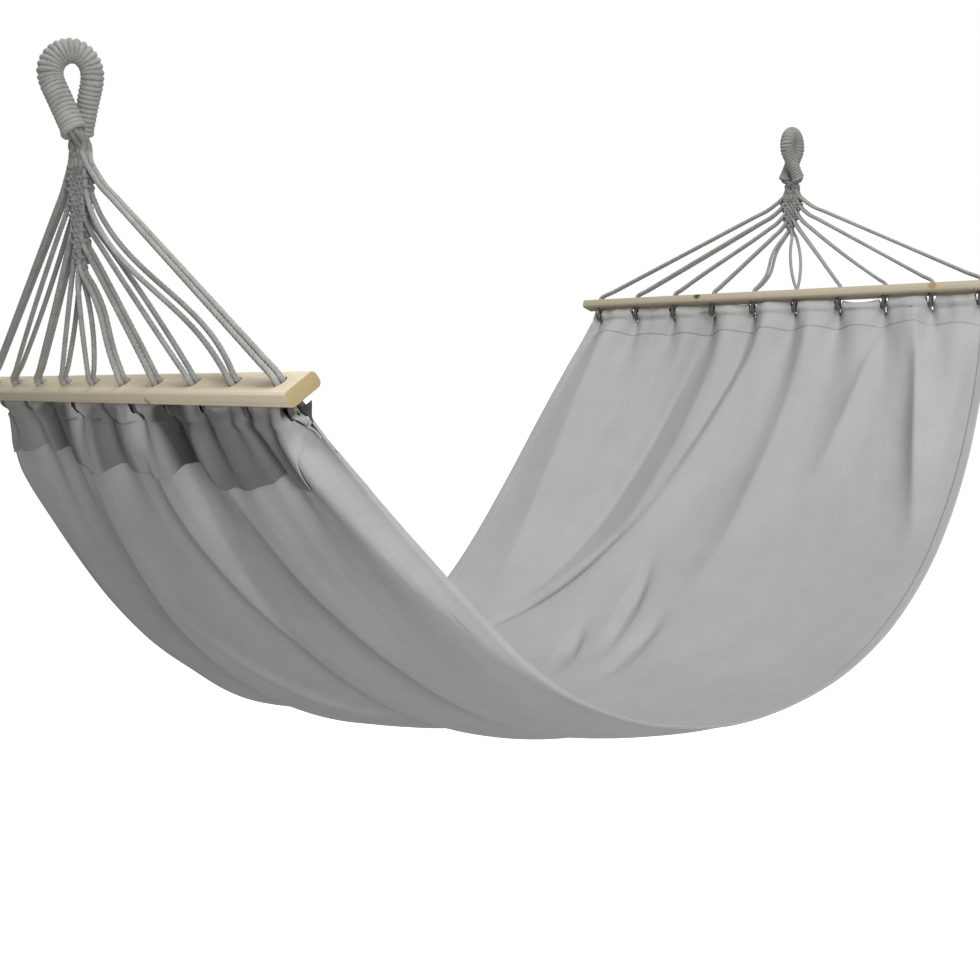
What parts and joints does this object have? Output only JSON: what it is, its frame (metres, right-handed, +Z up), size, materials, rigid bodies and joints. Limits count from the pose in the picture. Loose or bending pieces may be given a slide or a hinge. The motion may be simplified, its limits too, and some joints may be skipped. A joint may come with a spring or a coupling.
{
  "type": "spreader bar hammock",
  "caption": "Cotton cloth hammock with drilled wooden spreader bars, doubled hanging cords and whipped rope eyes to hook it up by.",
  "frame": {"origin": "the bearing point of the head eye, at the top of its hole, where a hook carries it", "axes": "+X from the head eye to the foot eye, +Y across the bed to the far side of the picture, +Z up"},
  "size_m": [1.5723, 0.9324, 0.9347],
  "materials": {
    "cloth": "plain woven undyed-look grey cotton canvas, matt",
    "cord": "twisted grey cotton cord, matt",
    "whipping": "close turns of grey cotton cord, matt",
    "bar_wood": "sanded pale pine, unvarnished"
  },
  "bodies": {
    "eyes": {"head_eye_core": "cord", "head_eye_whipping": "whipping", "foot_eye_core": "cord", "foot_eye_whipping": "whipping"},
    "sling": {"head_clew": "cord", "foot_clew": "cord", "bed_cloth": "cloth", "head_hem": "cloth", "foot_hem": "cloth", "head_hem_rope": "cord", "foot_hem_rope": "cord", "head_cord_1": "cord", "head_cord_2": "cord", "head_cord_3": "cord", "head_cord_4": "cord", "head_cord_5": "cord", "head_cord_6": "cord", "head_cord_7": "cord", "head_cord_8": "cord", "head_cord_9": "cord", "head_cord_10": "cord", "foot_cord_1": "cord", "foot_cord_2": "cord", "foot_cord_3": "cord", "foot_cord_4": "cord", "foot_cord_5": "cord", "foot_cord_6": "cord", "foot_cord_7": "cord", "foot_cord_8": "cord", "foot_cord_9": "cord", "foot_cord_10": "cord"},
    "head_bar": {"head_spreader_bar": "bar_wood"},
    "foot_bar": {"foot_spreader_bar": "bar_wood"}
  },
  "joints": [
    {"name": "swing", "type": "hinge", "parent": "eyes", "child": "sling", "pos_m": [0, 0, -0.092], "axis": [1, 0, 0], "range_deg": [-30, 30]},
    {"name": "head_bar_rock", "type": "hinge", "parent": "sling", "child": "head_bar", "pos_m": [0.016, 0, -0.339], "axis": [0.146, 0.9885, -0.0384], "range_deg": [-3, 3]},
    {"name": "foot_bar_rock", "type": "hinge", "parent": "sling", "child": "foot_bar", "pos_m": [1.413, 0, -0.285], "axis": [-0.1547, 0.9877, -0.0209], "range_deg": [-3, 3]}
  ]
}
